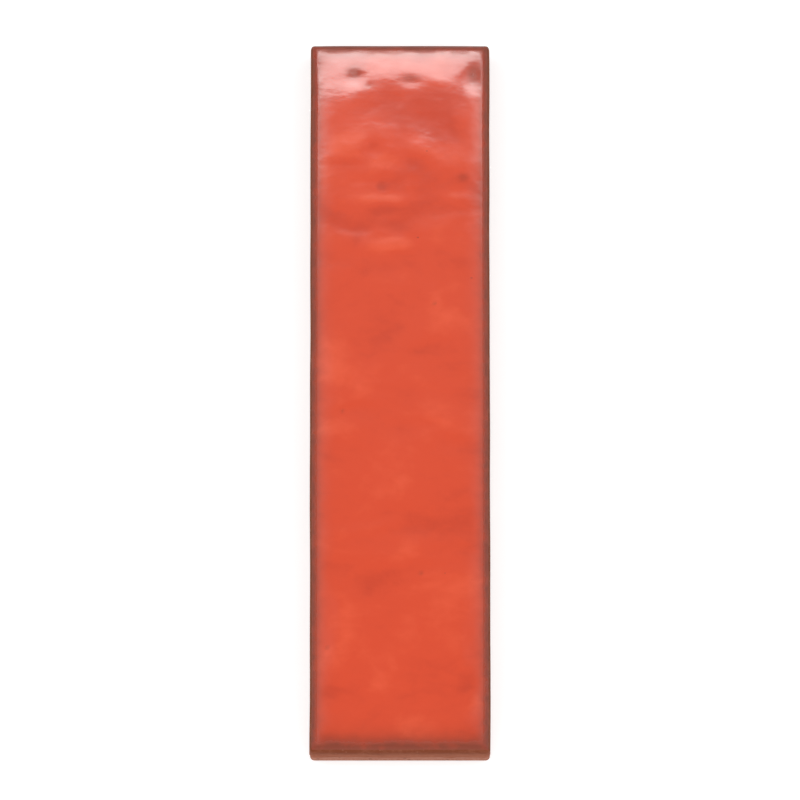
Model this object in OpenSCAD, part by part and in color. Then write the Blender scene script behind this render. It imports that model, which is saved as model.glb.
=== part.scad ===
// Glazed ceramic wall tile, long narrow format, one fired piece.
// It lies on its back, glazed face up: X is the width, Y the length, Z the thickness.

/* [Size] */
// Width between the two long joint faces
tile_w = 60; // [45:0.5:120]
// Length between the two short joint faces
tile_l = 250; // [150:0.5:400]
// Thickness from the back to the level middle of the face
tile_t = 12; // [9:0.5:16]

/* [Face] */
// Width of the cushioned band round the level middle of the face
cushion_w = 14; // [8:0.5:20]
// Drop of the face across the cushioned band, down to the start of the roll-over
cushion_drop = 0.45; // [0.2:0.05:1]
// Radius of the roll-over round the face
edge_r = 3; // [1.5:0.1:4]

/* [Corners] */
// Radius of the four upright corners
corner_r = 1.5; // [0.5:0.1:5]
// Bevel round the back, as wide as it is high
back_bevel = 0.8; // [0.3:0.1:1.5]

/* [Back] */
// Plain border round the key pockets
key_border = 7; // [5:0.5:12]
// Width of the ribs between the key pockets
key_rib = 3.5; // [2:0.1:6]
// Key pockets across the width
key_columns = 3; // [2:1:4]
// Key pockets along the length
key_rows = 10; // [6:2:14]
// Depth of the key pockets
key_depth = 0.7; // [0.3:0.1:1.2]
// Corner radius of the key pockets
key_corner_r = 1.5; // [0.5:0.1:1.8]

/* [Hidden] */
glaze_coral = "#da563d";

// Height of the roll-over's centre, which is as far in from the joint face as its radius
roll_z = tile_t - cushion_drop - edge_r;
// The cushion is an arc that leaves the level face without a kink and touches the roll-over
// from outside. cushion_run is its reach across, to the roll-over's centre.
cushion_run = cushion_w - edge_r;
centre_gap = (cushion_run * cushion_run + cushion_drop * cushion_drop) / (2 * cushion_drop);
cushion_r = centre_gap + edge_r;
// Reach of the arc across, on to where it touches the roll-over
touch_run = cushion_run * cushion_r / centre_gap;
// One key pocket, from what the border and the ribs leave
pocket_w = (tile_w - 2 * key_border - (key_columns - 1) * key_rib) / key_columns;
pocket_l = (tile_l - 2 * key_border - (key_rows - 1) * key_rib) / key_rows;
// Reach of the cutting solids past what they cut
over = 1;

// Rectangle centred on the origin with round corners
module rounded_rectangle(w, l, r) {
    square([w - 2 * r, l], center = true);
    square([w, l - 2 * r], center = true);
    for (sx = [-1, 1], sy = [-1, 1])
        translate([sx * (w / 2 - r), sy * (l / 2 - r)]) circle(r, $fn = 48);
}

// Half of a cross-section, from the middle line out to one joint face
module half_section(half_span) {
    level = half_span - cushion_w;
    // bevelled foot and upright joint face
    polygon([
        [0, 0], [half_span - back_bevel, 0], [half_span, back_bevel],
        [half_span, roll_z], [0, roll_z]
    ]);
    // level middle of the face
    square([level, tile_t]);
    // cushioned band
    intersection() {
        translate([level, tile_t - cushion_r]) circle(cushion_r, $fn = 720);
        translate([level, back_bevel]) square([touch_run, tile_t]);
    }
    // roll-over
    translate([half_span - edge_r, roll_z]) circle(edge_r, $fn = 96);
}

// Cross-section over a span, the same to both sides of its middle line
module section(span) {
    half_section(span / 2);
    mirror([1, 0]) half_section(span / 2);
}

// Pressed body: its outline and both cross-sections, each carried through the others
module pressed_body() {
    intersection() {
        linear_extrude(tile_t + over) rounded_rectangle(tile_w, tile_l, corner_r);
        rotate([90, 0, 0]) linear_extrude(tile_l + 2 * over, center = true) section(tile_w);
        rotate([90, 0, 90]) linear_extrude(tile_w + 2 * over, center = true) section(tile_l);
    }
}

// Shallow pockets in the back that key the tile into its adhesive
module key_pockets() {
    for (column = [0 : key_columns - 1], row = [0 : key_rows - 1])
        translate([
            (column - (key_columns - 1) / 2) * (pocket_w + key_rib),
            (row - (key_rows - 1) / 2) * (pocket_l + key_rib),
            -over
        ])
            linear_extrude(key_depth + over) rounded_rectangle(pocket_w, pocket_l, key_corner_r);
}

module tile() {
    color(glaze_coral) difference() {
        pressed_body();
        key_pockets();
    }
}

tile();
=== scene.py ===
import math

import bpy
import numpy as np
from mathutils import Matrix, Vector


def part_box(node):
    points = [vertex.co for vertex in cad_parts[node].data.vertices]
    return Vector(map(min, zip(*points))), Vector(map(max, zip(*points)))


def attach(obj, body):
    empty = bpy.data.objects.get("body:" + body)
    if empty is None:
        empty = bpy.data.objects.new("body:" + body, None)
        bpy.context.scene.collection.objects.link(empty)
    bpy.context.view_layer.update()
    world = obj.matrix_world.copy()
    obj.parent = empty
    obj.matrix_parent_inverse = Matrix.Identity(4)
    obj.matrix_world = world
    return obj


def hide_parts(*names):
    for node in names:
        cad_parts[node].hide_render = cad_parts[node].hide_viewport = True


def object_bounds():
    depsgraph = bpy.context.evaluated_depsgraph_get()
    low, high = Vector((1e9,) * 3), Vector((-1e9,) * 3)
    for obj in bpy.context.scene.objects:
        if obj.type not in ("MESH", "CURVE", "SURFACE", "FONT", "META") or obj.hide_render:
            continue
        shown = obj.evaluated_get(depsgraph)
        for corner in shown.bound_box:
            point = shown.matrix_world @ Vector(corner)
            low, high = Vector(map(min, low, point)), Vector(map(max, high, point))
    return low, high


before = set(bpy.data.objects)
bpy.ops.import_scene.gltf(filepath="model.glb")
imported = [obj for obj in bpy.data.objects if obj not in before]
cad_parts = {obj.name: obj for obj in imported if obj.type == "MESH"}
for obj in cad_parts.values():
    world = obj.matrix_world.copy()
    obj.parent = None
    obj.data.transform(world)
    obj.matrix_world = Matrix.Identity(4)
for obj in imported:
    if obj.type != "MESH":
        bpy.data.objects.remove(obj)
cadLow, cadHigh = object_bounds()
mm = 0.001
print("frame loaded:", [round(side / mm, 2) for side in cadHigh - cadLow], "mm")


# The tile. Every length is in millimetres.
tileLow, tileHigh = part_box("tile")
tile = {
    "width": (tileHigh.x - tileLow.x) / mm,
    "length": (tileHigh.y - tileLow.y) / mm,
    "thickness": (tileHigh.z - tileLow.z) / mm,
    "edgeRadius": 3.0,        # roll-over round the face
    "cushionWidth": 14.0,     # band that falls away towards the roll-over
    "cushionDrop": 0.45,
    "cornerRadius": 1.5,      # seen from above
    "cornerBlend": 3.0,       # how tightly two sides' shapes run together in a corner
    "backBevel": 0.8,
    "clayInset": 0.34,        # bare clay in from the joint face
    "insetReach": 6.0,        # how far in from the joint face an inset is felt
    "gridStep": 0.74,         # longest side of a mesh face
    "rollSteps": 9,           # rows of faces round the roll-over
    "sharpAngle": 38.0,       # degrees past which an edge is shaded sharp
    "seed": 23,
}

keyPockets = {
    "border": 7.0,
    "rib": 3.5,
    "columns": 3,
    "rows": 10,
    "depth": 0.7,
    "draft": 0.3,             # run of the sloping pocket wall
    "cornerRadius": 1.5,
}


# 0 below low, 1 above high, and a cubic without a kink between them
def smoothStep(low, high, value):
    t = np.clip((value - low) / (high - low), 0.0, 1.0)
    return t * t * (3 - 2 * t)


# Distance in from the nearer of two sides, rounded where they are alike:
# (dx^-n + dy^-n)^(-1/n), which is 0 on either side and the lesser distance far from a corner
def softDistance(dx, dy, tiny=1e-9):
    n = tile["cornerBlend"]
    bottom = np.maximum(dx, tiny) ** -n + np.maximum(dy, tiny) ** -n
    return bottom ** (-1 / n)


# Smooth random field: a sum of plane waves, sum of a * sin(k . p + phase), divided by its
# root mean square. Lengths are spread evenly over octaves, a is the length to a power, and
# the wave directions spread round the y axis, so that most crests run across it.
def waveField(x, y, seed, count, shortest, longest, spread=0.75, power=1.2):
    rng = np.random.default_rng(seed)
    lengths = shortest * (longest / shortest) ** rng.random(count)
    angles = rng.normal(0.0, spread, count)
    phases = rng.random(count) * 2 * math.pi
    heights = lengths ** power
    field = np.zeros_like(x)
    for length, angle, phase, height in zip(lengths, angles, phases, heights):
        k = 2 * math.pi / length
        field += height * np.sin(k * (math.sin(angle) * x + math.cos(angle) * y) + phase)
    return field / math.sqrt((heights ** 2).sum() / 2)


# Grid lines through every stop, with equal steps no longer than step between two stops
def gridLines(stops, step, slack=1e-6):
    lines = [np.array([stops[0]])]
    for low, high in zip(stops[:-1], stops[1:]):
        count = max(1, math.ceil((high - low) / step - slack))
        lines.append(np.linspace(low, high, count + 1)[1:])
    return np.concatenate(lines)


# Pocket walls along one direction, as (low, high) of each pocket
def pocketSpans(span, count):
    size = (span - 2 * keyPockets["border"] - (count - 1) * keyPockets["rib"]) / count
    lows = -span / 2 + keyPockets["border"] + np.arange(count) * (size + keyPockets["rib"])
    return [(low, low + size) for low in lows]


# Stops for the grid lines: the roll-over at equal turns, distance = r * (1 - cos turn),
# the back bevel, and both edges of each sloping pocket wall
def stopsAlong(span, count):
    turns = np.linspace(0, math.pi / 2, tile["rollSteps"] + 1)
    ins = list(tile["edgeRadius"] * (1 - np.cos(turns))) + [tile["backBevel"]]
    stops = [side * (span / 2 - d) for d in ins for side in (-1, 1)]
    for low, high in pocketSpans(span, count):
        stops += [low, low + keyPockets["draft"], high - keyPockets["draft"], high]
    return sorted(set(np.round(stops, 5)))


def makeGrid():
    xLines = gridLines(stopsAlong(tile["width"], keyPockets["columns"]), tile["gridStep"])
    yLines = gridLines(stopsAlong(tile["length"], keyPockets["rows"]), tile["gridStep"])
    return np.meshgrid(xLines, yLines, indexing="ij")


# Rounds the plan's corners: in the corner square, offsets (p, q) from 0 to 1 go to
# p * sqrt(1 - q^2 / 2) and q * sqrt(1 - p^2 / 2), which takes its edges to the quarter circle
def roundCorners(x, y):
    r = tile["cornerRadius"]
    p = np.maximum(np.abs(x) - (tile["width"] / 2 - r), 0) / r
    q = np.maximum(np.abs(y) - (tile["length"] / 2 - r), 0) / r
    both = (p > 0) & (q > 0)
    xRound = np.sign(x) * (tile["width"] / 2 - r + r * p * np.sqrt(1 - q * q / 2))
    yRound = np.sign(y) * (tile["length"] / 2 - r + r * q * np.sqrt(1 - p * p / 2))
    return np.where(both, xRound, x), np.where(both, yRound, y)


# Moves the outline in by an amount for each point, less and less further from the side
def drawIn(x, y, dx, dy, amountX, amountY):
    reach = tile["insetReach"]
    return (x - np.sign(x) * amountX * (1 - smoothStep(0, reach, dx)),
            y - np.sign(y) * amountY * (1 - smoothStep(0, reach, dy)))


glazeFace = {
    "waves": (46, 9.0, 42.0),         # of the ripple: how many, the shortest and the longest
    "height": 0.045,                  # root mean square of the ripple
    "swirls": (14, 26.0, 60.0, 1.5),  # slow waves that bend it, and how their directions spread
    "warp": 3.2,                      # how far they bend it
    "edgeCalm": 0.3,                  # share of the ripple that is left towards the sides
    "edgeCalmFrom": (2.0, 12.0),      # distances in from the side between which it calms
    "upperCalm": 0.55,                # share of it that is left towards the upper end
    "upperCalmFrom": (20.0, 80.0),    # places along the length between which it calms
    "rippleFrom": (0.0, 2.5),         # distances in from the side where the ripple comes in
    "hollowsFrom": (0.5, 3.0),        # and where the hollows do
    "glossFrom": 0.71,                # nearer the side than this the glaze is a dull wash
    "depth": 0.5,                     # of the glaze, which sets its colour
    "depthFromRipple": 0.25,          # how much less deep it lies on the ripple's crests
    "depthFromHollows": 4.0,          # how much deeper for each millimetre of a hollow
    "depthTowardsUpperEnd": 0.4,             # how much deeper towards the upper end
    "upperEndFrom": (0.05, 0.42),         # between these shares of the length, from the middle
    "depthLimits": (-0.2, 1.4),
    "rimDepthAndShade": 0.95,                 # depth at the rim, where the wash begins, deep so that the wash there is dark as painted shade
    "rimDepthAndShadeFrom": (0.3, 1.5),
    "thinAndShadeReach": (2.8, 4.5),          # how far in from a long side and from an end it is half thin and half in painted shade
    "thinAndShadeSlope": 3.0,                 # how steeply that changes
    # hollows pressed by hand, and low crests where the depth is below zero:
    # x, distance below the upper end, half width, half length, depth
    "hollows": [
        (-23.0, 5.5, 8.5, 9.2, 0.33),
        (6.0, 8.5, 22.0, 6.0, 0.12),
        (-15.3, 12.9, 3.4, 2.8, 0.18),
        (3.5, 14.2, 4.0, 2.0, 0.045),
        (24.6, 14.0, 2.8, 3.8, 0.15),
        (10.0, 30.5, 11.0, 8.0, 0.03),
        (-17.0, 37.5, 6.5, 5.0, -0.03),
        (-9.0, 37.5, 7.0, 7.0, -0.05),
        (-9.0, 38.0, 3.4, 3.4, 0.09),
        (-19.5, 43.5, 6.0, 2.2, 0.035),
        (5.0, 43.5, 4.5, 3.5, 0.035),
        (6.0, 38.5, 6.0, 4.0, -0.03),
        (18.0, 44.0, 7.0, 4.5, -0.05),
        (-5.0, 46.0, 9.0, 2.8, -0.05),
        (-10.0, 49.5, 9.0, 1.8, 0.03),
        (-6.0, 57.0, 8.5, 2.3, -0.08),
        (19.0, 56.2, 5.0, 2.4, -0.07),
        (-2.0, 73.0, 7.0, 2.5, -0.09),
        (-3.0, 87.0, 6.0, 4.0, -0.06),
    ],
    # patches of thinner, paler glaze, or of deeper glaze where the amount is below zero:
    # x, distance below the upper end, half width, half length, amount
    "patches": [
        (2.0, 18.5, 6.0, 3.0, 0.4),
        (16.0, 21.0, 8.0, 4.5, -0.5),
        (8.0, 27.0, 9.0, 5.5, -0.5),
        (-15.0, 32.5, 6.5, 4.5, 0.4),
        (-21.0, 37.0, 3.5, 4.0, 0.6),
        (4.0, 34.5, 4.0, 4.0, 0.5),
        (16.0, 39.0, 8.0, 4.0, 0.6),
        (-4.0, 42.5, 6.0, 3.0, 1.0),
        (-9.5, 37.0, 2.8, 3.6, -0.7),
        (-17.0, 43.5, 5.5, 2.0, -0.6),
        (5.0, 43.0, 4.0, 3.6, -0.8),
        (20.9, 48.3, 1.9, 1.7, -0.8),
        (-6.0, 51.6, 2.0, 1.6, -0.7),
        (-5.2, 55.5, 7.0, 1.8, 1.1),
        (-2.0, 59.5, 8.0, 1.8, -0.7),
        (18.7, 54.4, 5.0, 2.8, 0.8),
        (-14.6, 71.0, 3.5, 3.0, -0.7),
        (-1.0, 71.6, 6.0, 2.4, 0.9),
        (-2.7, 66.0, 7.0, 3.0, -0.5),
        (1.0, 83.5, 6.0, 3.5, 0.7),
        (19.6, 77.6, 3.5, 2.5, -0.6),
        (1.0, 97.0, 7.0, 6.0, 0.45),
        (18.0, 99.0, 6.0, 6.0, 0.4),
        (-20.0, 97.0, 6.0, 5.0, 0.3),
        (-9.5, 198.0, 5.0, 5.0, 0.4),
    ],
    # shallow pits with a brown stain: x, distance below the upper end, half width,
    # half length, depth, darkness of the stain
    "pits": [
        (-15.3, 10.8, 2.5, 2.1, 0.01, 0.7),
        (-10.5, 15.5, 1.8, 1.0, 0.02, 0.35),
        (3.5, 12.8, 3.0, 1.2, 0.01, 0.45),
        (24.4, 11.6, 2.0, 3.4, 0.01, 0.6),
        (20.9, 48.3, 1.4, 1.3, 0.015, 0.25),
        (-6.0, 51.6, 1.4, 1.2, 0.012, 0.15),
        (11.5, 93.0, 0.6, 0.6, 0.03, 0.35),
        (-19.0, 131.0, 0.6, 0.6, 0.03, 0.35),
        (7.0, 188.0, 0.7, 0.7, 0.03, 0.35),
        (-24.0, 214.0, 0.6, 0.6, 0.03, 0.35),
    ],
}


# Sum of soft marks, each its amount * exp(-(u^2 + v^2)), where u and v are the distances
# from its middle across and along, over its half width and half length
def softMarks(x, y, marks, column=4):
    below = tile["length"] / 2 - y
    total = np.zeros_like(x)
    for mark in marks:
        middle, place, halfWidth, halfLength = mark[:4]
        away = ((x - middle) / halfWidth) ** 2 + ((below - place) / halfLength) ** 2
        total += mark[column] * np.exp(-away)
    return total


# Fall of the cushioned band at a distance in from the side: the arc that leaves the level
# face without a kink and has dropped by the cushion drop where the roll-over begins
def cushionFall(d):
    run = tile["cushionWidth"] - tile["edgeRadius"]
    radius = (run ** 2 + tile["cushionDrop"] ** 2) / (2 * tile["cushionDrop"])
    reach = np.clip(tile["cushionWidth"] - d, 0.0, run)
    return radius - np.sqrt(radius ** 2 - reach ** 2)


# Height of the glazed face over the grid: level middle, less the roll-over's fall,
# r - sqrt(r^2 - (r - d)^2), and the falls of the cushion from both sides, joined as
# (a^n + b^n)^(1/n), with the ripple, the pits and the hollows on top. Returns it with the
# ripple's own field and the depth of the hollows.
def glazedFace(x, y, dx, dy, near):
    s, seed = glazeFace, tile["seed"]
    swirlX = waveField(x, y, seed + 1, *s["swirls"]) * s["warp"]
    swirlY = waveField(x, y, seed + 2, *s["swirls"]) * s["warp"]
    ripple = waveField(x + swirlX, y + swirlY, seed, *s["waves"])
    calm = s["edgeCalm"] + (1 - s["edgeCalm"]) * smoothStep(*s["edgeCalmFrom"], near)
    calm *= 1 - (1 - s["upperCalm"]) * smoothStep(*s["upperCalmFrom"], y)
    relief = ripple * s["height"] * calm * smoothStep(*s["rippleFrom"], near)
    relief -= softMarks(x, y, s["pits"])
    pressed = softMarks(x, y, s["hollows"]) * smoothStep(*s["hollowsFrom"], near)
    n = tile["cornerBlend"]
    cushion = (cushionFall(dx) ** n + cushionFall(dy) ** n) ** (1 / n)
    r = tile["edgeRadius"]
    roll = r - np.sqrt(r * r - (r - np.minimum(near, r)) ** 2)
    height = relief - pressed - cushion - roll
    return height + tile["thickness"] - height.max(), ripple, pressed


# Depth of the glaze on the face, about 0 to 1: more in the hollows and towards the upper end, less
# on the crests and in the thin patches, and one depth all along the rim, deep enough that the wash
# there darkens as painted shade
def glazeDepths(x, y, near, ripple, pressed):
    s = glazeFace
    towardsUpperEnd = s["depthTowardsUpperEnd"] * smoothStep(*s["upperEndFrom"], y / tile["length"])
    depth = s["depth"] - s["depthFromRipple"] * ripple + s["depthFromHollows"] * pressed + towardsUpperEnd
    depth = np.clip(depth - softMarks(x, y, s["patches"]), *s["depthLimits"])
    return depth + (s["rimDepthAndShade"] - depth) * (1 - smoothStep(*s["rimDepthAndShadeFrom"], near))


# How thin the glaze is drawn, 0 to 1, which also sets the painted shade that darkens the edges:
# 1 / (1 + (distance / reach)^slope) towards the sides, and more in the stained pits
def thinnessAndEdgeShade(x, y, dx, dy):
    s = glazeFace
    sideReach, endReach = s["thinAndShadeReach"]
    thinAndShaded = 1 / (1 + softDistance(dx / sideReach, dy / endReach) ** s["thinAndShadeSlope"])
    return np.clip(thinAndShaded + softMarks(x, y, s["pits"], column=5), 0, 1)


# Height of the back over the grid: a bevel round it, and pockets with sloping walls
def keyedBack(x, y, near):
    inside = np.full_like(x, -1.0)
    r = keyPockets["cornerRadius"]
    for lowX, highX in pocketSpans(tile["width"], keyPockets["columns"]):
        for lowY, highY in pocketSpans(tile["length"], keyPockets["rows"]):
            inX = np.minimum(x - lowX, highX - x)
            inY = np.minimum(y - lowY, highY - y)
            corner = np.hypot(np.maximum(r - inX, 0), np.maximum(r - inY, 0))
            inside = np.maximum(inside, np.where(corner > 0, r - corner, np.minimum(inX, inY)))
    pocket = keyPockets["depth"] * np.clip(inside / keyPockets["draft"], 0, 1)
    return pocket + np.maximum(tile["backBevel"] - near, 0)


glazeEdge = {
    "inset": (0.1, 0.24),          # least and most of the glaze's inset from the joint face
    "longSide": (12, 18.0, 90.0),  # waves of its outline: how many, the shortest, the longest
    "shortSide": (12, 18.0, 60.0),
    "waveSpread": 0.1 + math.pi / 2,   # of their directions
    "fullInset": 1.6,              # size of the wander at which the inset is at its limit
    "apart": 300.0,                # keeps opposite sides from wandering alike
    "lineHeight": 4.8,             # where the glaze ends on the sides, above the back
    "slowWander": (0.22, 3, 26),   # height, fewest waves round the tile, number they stay below
    "quickWander": (0.09, 50, 150),
    "runs": (0.75, 20, 75),        # single runs that hang lower
    "runsFrom": (0.9, 2.2),        # size of their field between which they come in
    "lineLimits": (1.2, 1.0),      # least height over the bevel, and least drop from the rim
    "washRows": 7,                 # rows of faces down the wash
    "washDepth": (0.85, 0.1),      # depth of the wash at its upper and lower end, deepest and darkest, partly painted shade, at the upper end
    "beadOut": 0.03,               # how far the bead along its end stands out
    "beadHalf": 0.35,              # half the bead's height
    "beadTurns": (0.6, 1.2, 1.8, 2.4),  # where its rows of points lie, turned from its top
    "beadDepth": 0.5,
    "clayDrop": 0.42,              # where the bare clay begins, below the middle of the bead
    "clayRows": 4,
}


# Numbers of the grid's outer points, anticlockwise seen from above, from the -X -Y corner
def rimOf(numbers):
    sides = [numbers[:-1, 0], numbers[-1, :-1], numbers[:0:-1, -1], numbers[0, :0:-1]]
    return np.concatenate(sides)


# Slow wander round the rim, which closes on itself: a sum of w * sin(2 pi (k * lap + phase))
# with whole numbers k, divided by its root mean square
def rimWander(lap, seed, fewest, below, count=26, leastWeight=0.3):
    rng = np.random.default_rng(seed)
    beats = rng.integers(fewest, below, count)
    weights = rng.random(count) + leastWeight
    field = np.zeros_like(lap)
    for beat, weight in zip(beats, weights):
        field += weight * np.sin(2 * math.pi * (beat * lap + rng.random()))
    return field / math.sqrt((weights ** 2).sum() / 2)


# Inset of the glaze's outline, which wanders along the side between the least and the most:
# middle + half the difference * clip(wander / full inset, -1, 1)
def glazeInset(along, across, seed, waves):
    s = glazeEdge
    place = along + s["apart"] * np.sign(across)
    wander = waveField(place, 0 * along, seed, *waves, s["waveSpread"])
    least, most = s["inset"]
    return (least + most) / 2 + (most - least) / 2 * np.clip(wander / s["fullInset"], -1, 1)


# Height at which the glaze ends, for each point of the rim: its middle height, a slow and a
# quick wander, and lower where a run hangs
def glazeLine(rimHeights):
    s, seed = glazeEdge, tile["seed"]
    lap = np.arange(len(rimHeights)) / len(rimHeights)
    slow, *slowBeats = s["slowWander"]
    quick, *quickBeats = s["quickWander"]
    runs, *runBeats = s["runs"]
    line = s["lineHeight"] + slow * rimWander(lap, seed + 5, *slowBeats)
    line += quick * rimWander(lap, seed + 6, *quickBeats)
    line -= runs * smoothStep(*s["runsFrom"], rimWander(lap, seed + 7, *runBeats))
    overBevel, underRim = s["lineLimits"]
    return np.clip(line, tile["backBevel"] + overBevel, rimHeights - underRim)


# Directions out of the sides: the line from the point before to the point after, turned
# a quarter outwards and made one long
def outwardOf(rimPoints):
    onward = np.roll(rimPoints, -1, 0)[:, :2] - np.roll(rimPoints, 1, 0)[:, :2]
    outward = np.stack([onward[:, 1], -onward[:, 0]], -1)
    return outward / np.linalg.norm(outward, axis=1, keepdims=True)


# Rows of points down the sides: straight down the glaze wash, out over the bead along
# (out * sin turn, half * cos turn), in to the clay and straight down it to the bevel.
# Returns the rows of the wash, the rows of the clay, and the depth of glaze on each row.
def sideRows(glazeRim, clayRim):
    s = glazeEdge
    line = glazeLine(glazeRim[:, 2])
    outward = outwardOf(clayRim)
    wash, clay, depths = [], [], []
    upper, lower = s["washDepth"]
    for step in np.linspace(0, 1, s["washRows"] + 1)[1:]:
        z = glazeRim[:, 2] + step * (line + s["beadHalf"] - glazeRim[:, 2])
        wash.append(np.column_stack([glazeRim[:, :2], z]))
        depths.append(upper + step * (lower - upper))
    for turn in s["beadTurns"]:
        xy = glazeRim[:, :2] + s["beadOut"] * math.sin(turn) * outward
        wash.append(np.column_stack([xy, line + s["beadHalf"] * math.cos(turn)]))
        depths.append(s["beadDepth"])
    clayTop = line - s["clayDrop"]
    for step in np.linspace(0, 1, s["clayRows"], endpoint=False):
        z = clayTop + step * (tile["backBevel"] - clayTop)
        clay.append(np.column_stack([clayRim[:, :2], z]))
        depths.append(0.0)
    return wash, clay, depths


# Faces of four corners over a grid of point numbers, anticlockwise seen from above
def gridQuads(numbers):
    corners = [numbers[:-1, :-1], numbers[1:, :-1], numbers[1:, 1:], numbers[:-1, 1:]]
    return np.stack(corners, -1).reshape(-1, 4)


# The whole tile as one closed surface: the glazed face, the sides row by row, and the back.
# Returns points in millimetres, faces of four corners, the finish of each face (0 gloss
# glaze, 1 glaze wash, 2 clay), and the depth of the glaze and its thinness, which also carries the
# painted edge shade, at each point.
def tileSurface():
    x, y = makeGrid()
    dx = tile["width"] / 2 - np.abs(x)
    dy = tile["length"] / 2 - np.abs(y)
    near = softDistance(dx, dy)
    xPlan, yPlan = roundCorners(x, y)
    faceZ, ripple, pressed = glazedFace(x, y, dx, dy, near)
    insetX = glazeInset(y, x, tile["seed"] + 3, glazeEdge["longSide"])
    insetY = glazeInset(x, y, tile["seed"] + 4, glazeEdge["shortSide"])
    xFace, yFace = drawIn(xPlan, yPlan, dx, dy, insetX, insetY)
    xBack, yBack = drawIn(xPlan, yPlan, dx, dy, tile["clayInset"], tile["clayInset"])
    top = np.stack([xFace, yFace, faceZ], -1).reshape(-1, 3)
    back = np.stack([xBack, yBack, keyedBack(x, y, near)], -1).reshape(-1, 3)

    numbers = np.arange(x.size).reshape(x.shape)
    rim = rimOf(numbers)
    around = len(rim)
    wash, clay, rowDepths = sideRows(top[rim], back[rim])
    rows = wash + clay
    points = np.concatenate([top, *rows, back])

    # point numbers: the face's grid, the rows, and the back's grid
    backNumbers = numbers + x.size + len(rows) * around
    rings = [x.size + k * around + np.arange(around) for k in range(len(rows))]
    rings = [rim, *rings, rimOf(backNumbers)]
    sides = [np.stack([low, np.roll(low, -1), np.roll(high, -1), high], -1)
             for high, low in zip(rings[:-1], rings[1:])]
    faceQuads = gridQuads(numbers)
    backQuads = gridQuads(backNumbers)[:, [0, 3, 2, 1]]
    quads = np.concatenate([faceQuads, *sides, backQuads])

    finish = np.full(len(quads), 2)
    finish[:len(faceQuads) + len(wash) * around] = 1
    finish[:len(faceQuads)] = near.ravel()[faceQuads].max(1) < glazeFace["glossFrom"]

    depth = np.zeros(len(points))
    depth[:x.size] = glazeDepths(x, y, near, ripple, pressed).ravel()
    depth[x.size:x.size + len(rows) * around] = np.repeat(rowDepths, around)
    # thinness of the glaze, which also sets the painted shade along the edges
    thin = np.ones(len(points))
    thin[:x.size] = thinnessAndEdgeShade(x, y, dx, dy).ravel()
    return points, quads, finish, depth, thin


def addObject(name, data):
    thing = bpy.data.objects.new(name, data)
    bpy.context.scene.collection.objects.link(thing)
    return thing


def addAttribute(mesh, name, values):
    attribute = mesh.attributes.new(name, "FLOAT", "POINT")
    attribute.data.foreach_set("value", values.astype(np.float32))


def buildTile(finishes):
    points, quads, finish, depth, thin = tileSurface()
    mesh = bpy.data.meshes.new("glazed_tile")
    mesh.vertices.add(len(points))
    mesh.vertices.foreach_set("co", (points * mm).astype(np.float32).ravel())
    mesh.loops.add(quads.size)
    mesh.loops.foreach_set("vertex_index", quads.astype(np.int32).ravel())
    mesh.polygons.add(len(quads))
    mesh.polygons.foreach_set("loop_start", np.arange(0, quads.size, 4, dtype=np.int32))
    for material in finishes:
        mesh.materials.append(material)
    mesh.update(calc_edges=True)
    mesh.polygons.foreach_set("material_index", finish.astype(np.int32))
    mesh.polygons.foreach_set("use_smooth", np.ones(len(quads), dtype=bool))
    addAttribute(mesh, "glazeDepth", depth)
    addAttribute(mesh, "thinGlazeAndEdgeShade", thin)
    mesh.set_sharp_from_angle(angle=math.radians(tile["sharpAngle"]))
    mesh.validate()
    piece = addObject("glazed_tile", mesh)
    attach(piece, "root")
    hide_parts("tile")
    print("tile surface:", len(points), "points,", len(quads), "faces")


# Small helpers for node trees
def addNode(tree, kind, **settings):
    node = tree.nodes.new(kind)
    for name, value in settings.items():
        setattr(node, name, value)
    return node


def mathNode(tree, operation, first, second=0.0, clamp=False):
    node = addNode(tree, "ShaderNodeMath", operation=operation, use_clamp=clamp)
    for socket, value in zip(node.inputs, (first, second)):
        if isinstance(value, (int, float)):
            socket.default_value = value
        else:
            tree.links.new(value, socket)
    return node.outputs[0]


def rangeNode(tree, value, fromLow, fromHigh, toLow=0.0, toHigh=1.0):
    node = addNode(tree, "ShaderNodeMapRange", interpolation_type="SMOOTHSTEP")
    tree.links.new(value, node.inputs["Value"])
    for name, number in (("From Min", fromLow), ("From Max", fromHigh),
                         ("To Min", toLow), ("To Max", toHigh)):
        node.inputs[name].default_value = number
    return node.outputs["Result"]


# The Mix node's colours go in at sockets 6 and 7 and come out at socket 2
def mixColour(tree, mask, first, second):
    node = addNode(tree, "ShaderNodeMix", data_type="RGBA")
    for socket, value in zip((0, 6, 7), (mask, first, second)):
        if isinstance(value, tuple):
            node.inputs[socket].default_value = (*value, 1.0)
        else:
            tree.links.new(value, node.inputs[socket])
    return node.outputs[2]


def attributeNode(tree, name):
    return addNode(tree, "ShaderNodeAttribute", attribute_name=name).outputs["Fac"]


# New node group with a Vector and the named numbers going in, and the named masks coming out
def newGroup(name, numbers, masks):
    group = bpy.data.node_groups.new(name, "ShaderNodeTree")
    ports = group.interface
    ports.new_socket("Vector", in_out="INPUT", socket_type="NodeSocketVector")
    for port, value in numbers.items():
        socket = ports.new_socket(port, in_out="INPUT", socket_type="NodeSocketFloat")
        socket.default_value = value
    for port in masks:
        ports.new_socket(port, in_out="OUTPUT", socket_type="NodeSocketFloat")
    inside = group.nodes.new("NodeGroupInput").outputs
    outside = group.nodes.new("NodeGroupOutput").inputs
    return group, inside, outside


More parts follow.
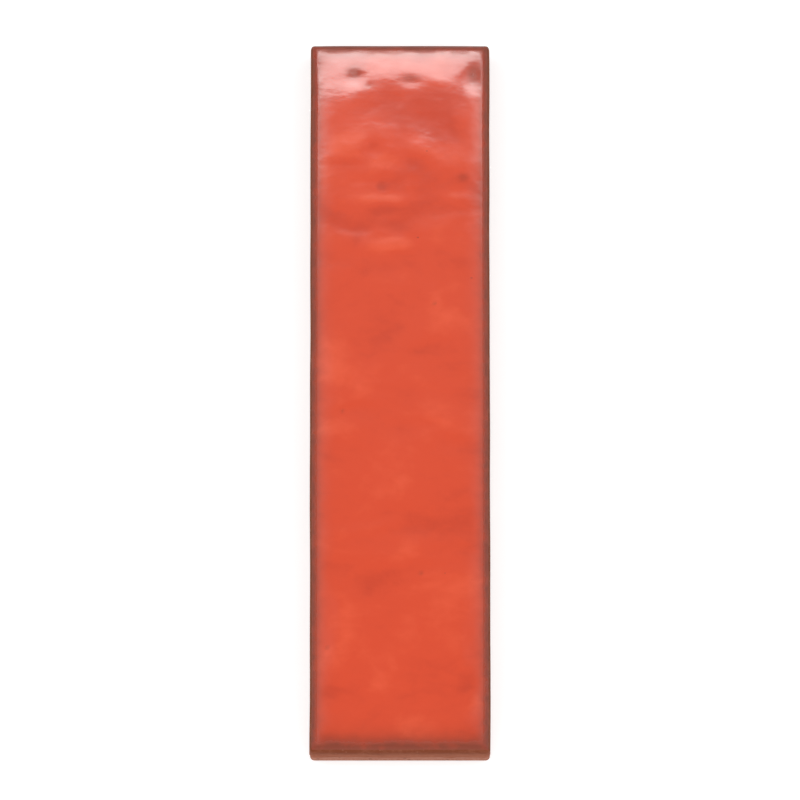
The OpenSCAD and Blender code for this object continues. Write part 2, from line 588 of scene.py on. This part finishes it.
# Group "firedMottle": cloudy patches of two sizes, as heat and thickness leave them in glaze
# and clay. Mask runs from 0 to 1 round 0.5, Fine is the smaller pattern alone.
def mottleGroup():
    values = {"Broad Scale": 60.0, "Fine Scale": 200.0, "Fine Share": 0.4, "Contrast": 1.5}
    group, inside, outside = newGroup("firedMottle", values, ("Mask", "Fine"))
    noises = []
    for scale, detail, twist in (("Broad Scale", 3.0, 0.9), ("Fine Scale", 4.0, 0.3)):
        noise = addNode(group, "ShaderNodeTexNoise")
        group.links.new(inside["Vector"], noise.inputs["Vector"])
        group.links.new(inside[scale], noise.inputs["Scale"])
        noise.inputs["Detail"].default_value = detail
        noise.inputs["Distortion"].default_value = twist
        noises.append(noise.outputs["Fac"])
    both = addNode(group, "ShaderNodeMix", data_type="FLOAT")
    for value, socket in zip((inside["Fine Share"], *noises), (0, 2, 3)):
        group.links.new(value, both.inputs[socket])
    spread = mathNode(group, "SUBTRACT", both.outputs[0], 0.5)
    spread = mathNode(group, "MULTIPLY", spread, inside["Contrast"])
    group.links.new(mathNode(group, "ADD", spread, 0.5, clamp=True), outside["Mask"])
    group.links.new(noises[1], outside["Fine"])
    return group


# Group "firedSpecks": scattered round specks, as iron and grog leave them. Mask is 1 on them.
def speckGroup(hardness=14.0):
    values = {"Scale": 300.0, "Size": 0.12, "Share": 0.3}
    group, inside, outside = newGroup("firedSpecks", values, ("Mask",))
    cells = addNode(group, "ShaderNodeTexVoronoi", feature="F1")
    group.links.new(inside["Vector"], cells.inputs["Vector"])
    group.links.new(inside["Scale"], cells.inputs["Scale"])
    chance = addNode(group, "ShaderNodeSeparateColor")
    group.links.new(cells.outputs["Color"], chance.inputs["Color"])
    chosen = mathNode(group, "LESS_THAN", chance.outputs[0], inside["Share"])
    size = mathNode(group, "MULTIPLY", inside["Size"], chance.outputs[1])
    within = mathNode(group, "SUBTRACT", size, cells.outputs["Distance"])
    speck = mathNode(group, "MULTIPLY", within, hardness, clamp=True)
    group.links.new(mathNode(group, "MULTIPLY", speck, chosen), outside["Mask"])
    return group


def placeGroup(tree, group, vector, values):
    node = addNode(tree, "ShaderNodeGroup", node_tree=group)
    tree.links.new(vector, node.inputs["Vector"])
    for name, value in values.items():
        node.inputs[name].default_value = value
    return node.outputs


def newMaterial(name):
    material = bpy.data.materials.new(name)
    material.use_nodes = True
    tree = material.node_tree
    return material, tree, tree.nodes["Principled BSDF"]


def stretchedPlace(tree, stretch):
    place = addNode(tree, "ShaderNodeMapping")
    place.inputs["Scale"].default_value = stretch
    tree.links.new(addNode(tree, "ShaderNodeTexCoord").outputs["Object"], place.inputs["Vector"])
    return place.outputs["Vector"]


# Lays specks of another colour over a colour, as far as they cover it
def addSpecks(tree, specks, place, look, colour, speckColour):
    mask = placeGroup(tree, specks, place, look["specks"])["Mask"]
    mask = mathNode(tree, "MULTIPLY", mask, look["speckCover"])
    return mixColour(tree, mask, colour, speckColour)


# A pattern's values as a bump of so many millimetres
def addGrain(tree, shader, height, depth, strength=0.5):
    bump = addNode(tree, "ShaderNodeBump")
    bump.inputs["Strength"].default_value = strength
    bump.inputs["Distance"].default_value = depth * mm
    tree.links.new(height, bump.inputs["Height"])
    tree.links.new(bump.outputs["Normal"], shader.inputs["Normal"])


glazeLook = {
    "thin": (0.79, 0.086, 0.025),     # over the crests
    "middle": (0.695, 0.056, 0.010),
    "pooled": (0.59, 0.042, 0.006),   # in the hollows
    "rim": (0.193, 0.025, 0.005),     # where it draws back over the edges, darkened as painted shade on the roll-over
    "iron": (0.30, 0.03, 0.01),
    "stretch": (0.8, 1.15, 1.0),
    "clouds": {"Broad Scale": 52.0, "Fine Scale": 240.0, "Fine Share": 0.36, "Contrast": 2.5},
    "toneShares": (0.5, 0.5),         # how much the clouds and the depth count in the tone
    "uneven": (0.6, 0.8),             # what thinness is multiplied by, and what fine clouds add
    "specks": {"Scale": 420.0, "Size": 0.22, "Share": 0.012},
    "speckCover": 0.6,
    "roughness": (0.05, 0.13),
    "roughFrom": (0.3, 0.8),          # fine clouds over which it goes from least to most
    "rimRoughness": 0.4,
    "rimFrom": (0.45, 1.0),           # thinness over which the gloss is lost
    "index": 1.52,
    "skinScale": 270.0,
    "skinDetail": 2.0,
    "skinDepth": 0.05,
    "skinStrength": 0.6,
}


# Gloss glaze: colour by its depth and slow clouds, darker and browner where it runs thin
# over the edges and where painted shade darkens the roll-over, a few iron specks, and a faint
# waviness in the gloss
def glazeMaterial(mottle, specks):
    s = glazeLook
    material, tree, shader = newMaterial("coralGlaze")
    place = stretchedPlace(tree, s["stretch"])
    clouds = placeGroup(tree, mottle, place, s["clouds"])
    cloudShare, depthShare = s["toneShares"]
    cloudTone = mathNode(tree, "MULTIPLY", clouds["Mask"], cloudShare)
    depthTone = mathNode(tree, "MULTIPLY", attributeNode(tree, "glazeDepth"), depthShare)
    tone = mathNode(tree, "ADD", cloudTone, depthTone, clamp=True)
    light = mixColour(tree, rangeNode(tree, tone, 0.0, 0.5), s["thin"], s["middle"])
    colour = mixColour(tree, rangeNode(tree, tone, 0.5, 1.0), light, s["pooled"])
    least, more = s["uneven"]
    uneven = mathNode(tree, "ADD", mathNode(tree, "MULTIPLY", clouds["Fine"], more), least)
    thin = mathNode(tree, "MULTIPLY", attributeNode(tree, "thinGlazeAndEdgeShade"), uneven, clamp=True)
    # painted shade: the dark rim colour stands in for shade and dark reflection on the roll-over,
    # laid where the glaze also runs thin
    colour = mixColour(tree, thin, colour, s["rim"])
    colour = addSpecks(tree, specks, place, s, colour, s["iron"])
    tree.links.new(colour, shader.inputs["Base Color"])
    gloss = rangeNode(tree, clouds["Fine"], *s["roughFrom"], *s["roughness"])
    dulled = rangeNode(tree, thin, *s["rimFrom"], 0.0, s["rimRoughness"] - s["roughness"][0])
    tree.links.new(mathNode(tree, "ADD", gloss, dulled), shader.inputs["Roughness"])
    shader.inputs["IOR"].default_value = s["index"]
    skin = addNode(tree, "ShaderNodeTexNoise")
    skin.inputs["Scale"].default_value = s["skinScale"]
    skin.inputs["Detail"].default_value = s["skinDetail"]
    tree.links.new(place, skin.inputs["Vector"])
    addGrain(tree, shader, skin.outputs["Fac"], s["skinDepth"], s["skinStrength"])
    return material


clayLook = {
    "pale": (0.43, 0.185, 0.125),
    "dark": (0.32, 0.118, 0.075),
    "grog": (0.18, 0.072, 0.046),
    "stretch": (1.0, 1.0, 1.0),
    "clouds": {"Broad Scale": 90.0, "Fine Scale": 900.0, "Fine Share": 0.5, "Contrast": 2.0},
    "specks": {"Scale": 700.0, "Size": 0.5, "Share": 0.2},
    "speckCover": 0.6,
    "roughness": (0.78, 0.95),
    "roughFrom": (0.2, 0.8),
    "specular": 0.25,
    "grain": 0.12,
}


# Bare fired clay: matt, cloudy, with grog specks and a fine grain
def clayMaterial(mottle, specks):
    s = clayLook
    material, tree, shader = newMaterial("firedClay")
    place = stretchedPlace(tree, s["stretch"])
    clouds = placeGroup(tree, mottle, place, s["clouds"])
    colour = mixColour(tree, clouds["Mask"], s["pale"], s["dark"])
    colour = addSpecks(tree, specks, place, s, colour, s["grog"])
    tree.links.new(colour, shader.inputs["Base Color"])
    rough = rangeNode(tree, clouds["Fine"], *s["roughFrom"], *s["roughness"])
    tree.links.new(rough, shader.inputs["Roughness"])
    shader.inputs["Specular IOR Level"].default_value = s["specular"]
    addGrain(tree, shader, clouds["Fine"], s["grain"])
    return material


washLook = {
    # thick: partly painted shade, a dark brown that stands for the shade on the roll-over and the
    # upper sides
    "thickAndShaded": (0.187, 0.046, 0.019),
    "thin": (0.35, 0.122, 0.073),
    "stretch": (1.0, 1.0, 1.6),
    "clouds": {"Broad Scale": 160.0, "Fine Scale": 800.0, "Fine Share": 0.45, "Contrast": 1.8},
    "specks": {"Scale": 900.0, "Size": 0.4, "Share": 0.15},
    "speckCover": 0.3,
    "roughness": (0.8, 0.6),          # where it is thin, and where it is thick
    "specular": 0.08,
    "grain": 0.03,
}


# Thin, dull glaze that ran over the edge, with the pale clay coming through in specks; its thick
# colour is darker than the glaze itself, partly painted shade on the roll-over and the upper sides
def washMaterial(mottle, specks):
    s = washLook
    material, tree, shader = newMaterial("glazeWashAndShade")
    place = stretchedPlace(tree, s["stretch"])
    clouds = placeGroup(tree, mottle, place, s["clouds"])
    uneven = mathNode(tree, "SUBTRACT", clouds["Mask"], 0.5)
    cover = mathNode(tree, "ADD", attributeNode(tree, "glazeDepth"), uneven, clamp=True)
    # painted shade: the dark thick colour where the wash lies deep, on the roll-over and the upper
    # sides
    colour = mixColour(tree, cover, s["thin"], s["thickAndShaded"])
    colour = addSpecks(tree, specks, place, s, colour, clayLook["pale"])
    tree.links.new(colour, shader.inputs["Base Color"])
    tree.links.new(rangeNode(tree, cover, 0.0, 1.0, *s["roughness"]), shader.inputs["Roughness"])
    shader.inputs["Specular IOR Level"].default_value = s["specular"]
    addGrain(tree, shader, clouds["Fine"], s["grain"])
    return material


mottle, specks = mottleGroup(), speckGroup()
buildTile([make(mottle, specks) for make in (glazeMaterial, washMaterial, clayMaterial)])
print("materials on")


# The stage: pale floor, white surroundings, soft lights. Lengths in metres from here on.
stageSettings = {
    "white": (1.0, 1.0, 1.0, 1.0),
    "floorSize": 14.0,
    "floorGap": 0.1 * mm,
    "floorColour": (0.7, 0.7, 0.7),
    "floorRoughness": 0.9,
    "floorLift": 0.5,          # white that the floor shows by itself to camera and gloss
    "farLift": 0.14,           # what it shows more of it away from the lamps
    "farFrom": (0.4, 1.6),     # distances over which that comes in
    "skyShown": 1.0,           # brightness of the surroundings to camera and gloss
    "skyLight": 0.55,          # what they give matt surfaces
    "stripStep": 0.18,         # rise from one soft strip in the gloss to the next
    "stripEdge": (-0.3, 0.7),  # part of the wave over which a strip comes in
    "stripGain": (-0.4, 0.5),  # what gloss sees less between them and more on them
}


# 1 for what the camera, a gloss or a clear surface sees directly, 0 for what only gets light
def seenDirectly(tree):
    path = addNode(tree, "ShaderNodeLightPath")
    seen = mathNode(tree, "ADD", path.outputs["Is Camera Ray"], path.outputs["Is Glossy Ray"])
    return mathNode(tree, "ADD", seen, path.outputs["Is Transmission Ray"], clamp=True)


def flatSheet(name, low, high, z, material):
    mesh = bpy.data.meshes.new(name)
    corners = [(x, y, z) for x, y in (low, (high[0], low[1]), high, (low[0], high[1]))]
    mesh.from_pydata(corners, [], [(0, 1, 2, 3)])
    mesh.materials.append(material)
    sheet = addObject(name, mesh)
    return sheet


def makeFloor():
    s = stageSettings
    material, tree, shader = newMaterial("paleFloor")
    shader.inputs["Base Color"].default_value = (*s["floorColour"], 1.0)
    shader.inputs["Roughness"].default_value = s["floorRoughness"]
    shader.inputs["Specular IOR Level"].default_value = 0.0
    shader.inputs["Emission Color"].default_value = s["white"]
    away = addNode(tree, "ShaderNodeVectorMath", operation="LENGTH")
    tree.links.new(addNode(tree, "ShaderNodeTexCoord").outputs["Object"], away.inputs[0])
    far = rangeNode(tree, away.outputs["Value"], *s["farFrom"], 0.0, s["farLift"])
    lift = mathNode(tree, "ADD", far, s["floorLift"])
    lift = mathNode(tree, "MULTIPLY", seenDirectly(tree), lift)
    tree.links.new(lift, shader.inputs["Emission Strength"])
    half = s["floorSize"] / 2
    flatSheet("floor", (-half, -half), (half, half), cadLow.z - s["floorGap"], material)


# Even white, with soft level strips that only gloss sees: sin(turn), where the turn grows
# with the height of the direction looked in
def makeSky():
    s = stageSettings
    world = bpy.data.worlds.new("studio")
    world.use_nodes = True
    tree = world.node_tree
    background = tree.nodes["Background"]
    background.inputs["Color"].default_value = s["white"]
    direction = addNode(tree, "ShaderNodeSeparateXYZ")
    tree.links.new(addNode(tree, "ShaderNodeTexCoord").outputs["Generated"], direction.inputs[0])
    turn = mathNode(tree, "MULTIPLY", direction.outputs["Z"], 2 * math.pi / s["stripStep"])
    strips = rangeNode(tree, mathNode(tree, "SINE", turn), *s["stripEdge"], *s["stripGain"])
    path = addNode(tree, "ShaderNodeLightPath")
    strips = mathNode(tree, "MULTIPLY", strips, path.outputs["Is Glossy Ray"])
    shown = mathNode(tree, "MULTIPLY", seenDirectly(tree), s["skyShown"] - s["skyLight"])
    shown = mathNode(tree, "ADD", shown, strips)
    shown = mathNode(tree, "ADD", shown, s["skyLight"])
    tree.links.new(shown, background.inputs["Strength"])
    bpy.context.scene.world = world


# A panel over the tile that only gloss sees: dim, brighter towards the far end, with a
# bright window there and two soft strips over the near half. Its brightness along the
# length is a sum of smooth steps, each (from, to, what it adds), and it glows to both sides.
overheadPanel = {
    "height": 0.8,
    "low": (-0.34, -0.75),            # its corners, seen from above
    "high": (0.34, 0.78),
    "dim": 0.40,                      # brightness that the rest adds to
    "rise": [(-0.45, 0.05, 0.34), (0.18, 0.34, 0.18), (0.355, 0.47, 1.3)],
    "strips": [(-0.38, -0.35, 1.3), (-0.31, -0.28, -1.3),
               (-0.12, -0.09, 1.3), (-0.06, -0.03, -1.3)],
    "window": [(0.425, 0.475, 6.6), (0.475, 0.56, 3.0), (0.61, 0.68, -9.3)],
    "windowHalfWidth": (0.15, 0.19),  # distances across over which the window ends
    "sides": (0.09, 0.18),            # distances across over which the glow comes in
    "sideGlow": (0.355, 0.405, 0.7, 2.4),  # from, to, its least and its most along the length
}


def makePanel():
    s = overheadPanel
    material = bpy.data.materials.new("overheadPanel")
    material.use_nodes = True
    tree = material.node_tree
    tree.nodes.clear()
    place = addNode(tree, "ShaderNodeSeparateXYZ")
    tree.links.new(addNode(tree, "ShaderNodeTexCoord").outputs["Object"], place.inputs[0])
    across = mathNode(tree, "ABSOLUTE", place.outputs["X"])
    along = place.outputs["Y"]
    outer = rangeNode(tree, across, *s["sides"])
    within = rangeNode(tree, across, *s["windowHalfWidth"], 1.0, 0.0)
    glow = rangeNode(tree, along, *s["sideGlow"])
    bright = mathNode(tree, "ADD", mathNode(tree, "MULTIPLY", outer, glow), s["dim"])
    for low, high, more in s["rise"] + s["strips"]:
        bright = mathNode(tree, "ADD", bright, rangeNode(tree, along, low, high, 0.0, more))
    for low, high, more in s["window"]:
        lit = mathNode(tree, "MULTIPLY", rangeNode(tree, along, low, high, 0.0, more), within)
        bright = mathNode(tree, "ADD", bright, lit)
    shine = addNode(tree, "ShaderNodeEmission")
    tree.links.new(bright, shine.inputs["Strength"])
    output = addNode(tree, "ShaderNodeOutputMaterial")
    tree.links.new(shine.outputs["Emission"], output.inputs["Surface"])
    panel = flatSheet("overheadPanel", s["low"], s["high"], s["height"], material)
    panel.visible_camera = False
    panel.visible_diffuse = False
    panel.visible_shadow = False
    panel.visible_transmission = False


# Lamps that face the tile: place, width, height, brightness of the surface
softLights = {
    "softLeft": ((-0.85, 0.0, 0.75), 1.2, 0.8, 1.65),
    "softRight": ((0.85, 0.0, 0.75), 1.2, 0.8, 1.65),
    "softFront": ((0.0, -1.1, 0.3), 1.2, 0.5, 2.6),
}


def makeLights():
    for name, (place, width, height, brightness) in softLights.items():
        lamp = bpy.data.lights.new(name, "AREA")
        lamp.shape = "RECTANGLE"
        lamp.size, lamp.size_y = width, height
        lamp.energy = brightness * math.pi * width * height
        light = addObject(name, lamp)
        light.location = place
        light.rotation_euler = Vector(place).to_track_quat("Z", "Y").to_euler()
        light.visible_camera = False
        light.visible_glossy = False


cameraSettings = {
    "elevation": 70.0,         # degrees above the horizon, from the -Y end
    "lens": 800.0,
    "sensor": 36.0,
    "fill": 0.9,               # share of the view's height that the tile takes
    "sees": (0.1, 3.0),        # nearest and furthest, as shares of the distance to the tile
}


def makeCamera():
    s = cameraSettings
    raised = math.radians(s["elevation"])
    size = cadHigh - cadLow
    shownHeight = size.y * math.sin(raised) + size.z * math.cos(raised)
    distance = shownHeight / s["fill"] * s["lens"] / s["sensor"]
    back = Vector((0.0, -math.cos(raised), math.sin(raised)))
    data = bpy.data.cameras.new("camera")
    data.lens, data.sensor_width = s["lens"], s["sensor"]
    data.clip_start, data.clip_end = (share * distance for share in s["sees"])
    camera = addObject("camera", data)
    camera.location = (cadLow + cadHigh) / 2 + back * distance
    camera.rotation_mode = "QUATERNION"
    camera.rotation_quaternion = back.to_track_quat("Z", "Y")
    bpy.context.scene.camera = camera


makeFloor()
makeSky()
makePanel()
makeLights()
makeCamera()
bpy.context.scene.view_settings.view_transform = "Standard"
print("stage, lights and camera ready")
